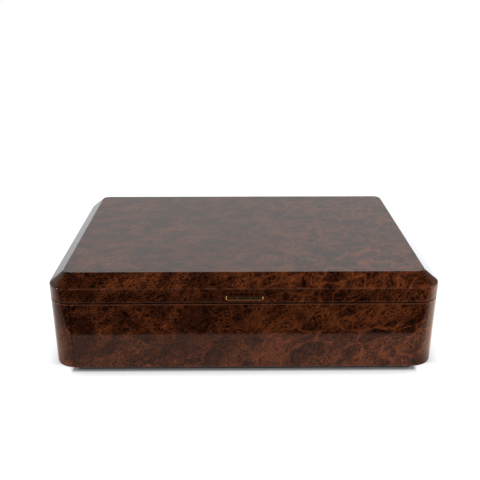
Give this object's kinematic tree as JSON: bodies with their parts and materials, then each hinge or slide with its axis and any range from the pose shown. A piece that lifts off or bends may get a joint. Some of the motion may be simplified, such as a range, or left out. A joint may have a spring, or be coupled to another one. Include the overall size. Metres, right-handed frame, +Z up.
{
  "type": "cigar humidor",
  "caption": "Lacquered burl box with a bevelled stop-hinged lid, brass lift, cedar lining, lift-out tray, sliding dividers, humidifier and hygrometer.",
  "frame": {"origin": "middle of the bounding box's bottom, on the plane that the felt rests on", "axes": "+X to the right along the length, seen from the front; front faces -Y, hinges at +Y; +Z up"},
  "size_m": [0.36, 0.255, 0.0979],
  "materials": {
    "burl_veneer": "high-gloss lacquered burl veneer",
    "black_stained_wood": "satin black stain",
    "plywood": "sanded, unfinished",
    "cedar": "planed, unfinished Spanish cedar",
    "brass": "polished",
    "steel": "satin, nickel plated",
    "felt": "dense pressed felt",
    "black_plastic": "fine matt texture",
    "foam": "open-cell foam",
    "dial_enamel": "satin enamel",
    "needle_paint": "satin",
    "glass": "clear, flat"
  },
  "bodies": {
    "base": {"base_case": "burl_veneer", "base_panel": "plywood", "plinth": "black_stained_wood", "base_felt": "felt", "cedar_floor": "cedar", "base_lining_front": "cedar", "base_lining_back": "cedar", "base_lining_left": "cedar", "base_lining_right": "cedar", "tray_rail_left": "cedar", "tray_rail_right": "cedar", "hinge_base_leaves": "brass", "hinge_pins": "brass", "hinge_base_screws": "brass"},
    "lid": {"lid_case": "burl_veneer", "lid_lining_panel": "cedar", "lid_lining_front": "cedar", "lid_lining_back": "cedar", "lid_lining_left": "cedar", "lid_lining_right": "cedar", "lid_lift": "brass", "hinge_lid_leaves": "brass", "hinge_lid_screws": "brass", "humidifier_strips": "steel", "hygrometer_case": "brass", "hygrometer_dial": "dial_enamel", "hygrometer_glass": "glass", "hygrometer_spindle": "steel"},
    "needle": {"hygrometer_needle": "needle_paint"},
    "humidifier": {"humidifier_case": "black_plastic", "humidifier_grille": "black_plastic", "humidifier_foam": "foam", "humidifier_magnets": "steel"},
    "tray": {"tray_front": "cedar", "tray_back": "cedar", "tray_left": "cedar", "tray_right": "cedar", "tray_bottom": "cedar"},
    "tray_divider": {"tray_divider": "cedar"},
    "divider_left": {"divider_left": "cedar"},
    "divider_right": {"divider_right": "cedar"}
  },
  "joints": [
    {"name": "lid_hinge", "type": "hinge", "parent": "base", "child": "lid", "pos_m": [0, 0.1248, 0.073], "axis": [-1, 0, 0], "range_deg": [0, 95]},
    {"name": "needle_turn", "type": "hinge", "parent": "lid", "child": "needle", "pos_m": [-0.088, 0, 0.0811], "axis": [0, 0, 1], "range_deg": [-168, 72], "stiffness_Nm_per_rad": 0.00001},
    {"name": "humidifier_pull", "type": "slide", "parent": "lid", "child": "humidifier", "axis": [0, 0, -1], "range_m": [0, 0.004]},
    {"name": "tray_lift", "type": "slide", "parent": "base", "child": "tray", "axis": [0, 0, 1], "range_m": [0, 0.004]},
    {"name": "tray_divider_slide", "type": "slide", "parent": "tray", "child": "tray_divider", "axis": [1, 0, 0], "range_m": [-0.2, 0.11]},
    {"name": "divider_left_slide", "type": "slide", "parent": "base", "child": "divider_left", "axis": [1, 0, 0], "range_m": [-0.1, 0.05]},
    {"name": "divider_right_slide", "type": "slide", "parent": "base", "child": "divider_right", "axis": [1, 0, 0], "range_m": [-0.05, 0.1]}
  ]
}
